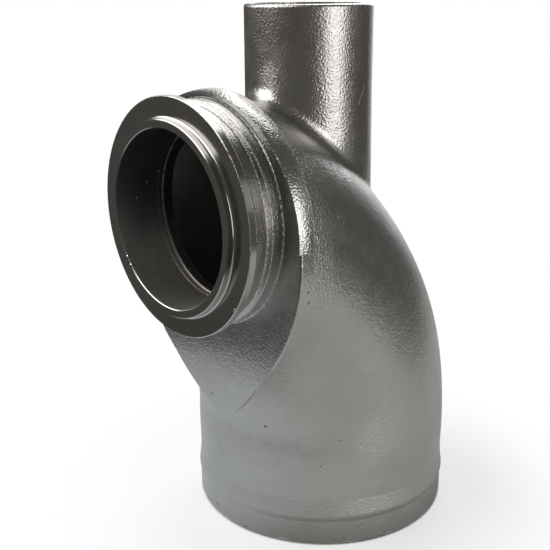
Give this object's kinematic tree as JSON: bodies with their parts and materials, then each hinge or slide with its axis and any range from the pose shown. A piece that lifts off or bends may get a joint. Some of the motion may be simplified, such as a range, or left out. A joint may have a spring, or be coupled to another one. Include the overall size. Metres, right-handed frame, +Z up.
{
  "type": "exhaust elbow",
  "caption": "Water-jacketed exhaust elbow in cast stainless steel: clamp-flange gas inlet, water tube on top and a downward spigot for the exhaust hose.",
  "frame": {"origin": "centre of the outlet's rim, the face on which the elbow stands", "axes": "+Z up the outlet's axis, -X out of the gas inlet, y = 0 is the plane of symmetry"},
  "size_m": [0.1265, 0.1032, 0.1986],
  "materials": {
    "cast_steel": "satin cast surface with machined inlet"
  },
  "bodies": {
    "root": {"elbow_casting": "cast_steel"}
  },
  "joints": []
}
